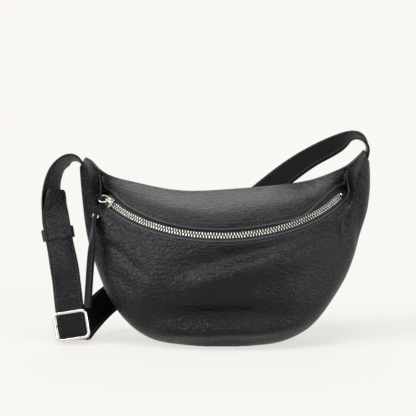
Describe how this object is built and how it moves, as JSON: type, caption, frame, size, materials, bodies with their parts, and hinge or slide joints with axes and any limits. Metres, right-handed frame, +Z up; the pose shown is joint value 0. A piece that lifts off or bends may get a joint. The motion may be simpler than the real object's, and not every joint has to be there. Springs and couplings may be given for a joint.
{
  "type": "belt bag",
  "caption": "Half-moon belt bag in black grained leather with a curved metal zip and a leather strap with a slide buckle.",
  "frame": {"origin": "centre of the flat base, on the floor", "axes": "+X to the bag's right as seen from the front, +Y towards the back, +Z up"},
  "size_m": [0.2923, 0.1052, 0.1836],
  "materials": {
    "leather": "pebble grain, semi-matte",
    "cloth": "plain woven, matte",
    "tape": "ribbed tape, matte",
    "metal": "polished nickel"
  },
  "bodies": {
    "bag": {"front_panel": "leather", "upper_panel": "leather", "back_panel": "leather", "front_lining": "cloth", "upper_lining": "cloth", "back_lining": "cloth", "slip_pocket": "cloth", "zip_upper_chain": "metal", "zip_lower_chain": "metal", "zip_top_stop_upper": "metal", "zip_top_stop_lower": "metal", "zip_bottom_stop": "metal", "zip_end_tab_left": "tape", "zip_end_tab_right": "tape", "strap_left": "leather", "strap_right": "leather"},
    "slider": {"slider_body": "metal", "slider_bail": "metal"},
    "ring": {"pull_ring": "metal"},
    "pull": {"pull_leather": "leather", "pull_rivet": "metal"},
    "keeper": {"strap_keeper": "leather"},
    "buckle": {"buckle_frame": "metal", "buckle_bar": "metal"}
  },
  "joints": [
    {"name": "zip_slide", "type": "hinge", "parent": "bag", "child": "slider", "pos_m": [-0.00145, 0.08073, 0.15441], "axis": [-0.0233, -0.454, 0.8907], "range_deg": [0, 108], "deforming": ["zip_upper_chain", "zip_lower_chain"]},
    {"name": "ring_lift", "type": "hinge", "parent": "slider", "child": "ring", "pos_m": [-0.10548, 0.0175, 0.12401], "axis": [-0.3793, 0.7408, 0.5544], "range_deg": [0, 18]},
    {"name": "pull_turn", "type": "hinge", "parent": "ring", "child": "pull", "pos_m": [-0.10931, 0.01956, 0.12491], "axis": [-0.0714, -0.5642, 0.8225], "range_deg": [-71.2, 1]},
    {"name": "keeper_slide", "type": "slide", "parent": "bag", "child": "keeper", "axis": [0.1916, -0.1967, -0.9616], "range_m": [0, 0.01]},
    {"name": "buckle_rock", "type": "hinge", "parent": "bag", "child": "buckle", "pos_m": [-0.13599, -0.00717, 0.01689], "axis": [-0.9887, -0.0007, -0.1499], "range_deg": [-3, 3]}
  ],
  "couplings": [
    {"joint": "pull_turn", "follows": "zip_slide", "ratio": -0.65}
  ]
}
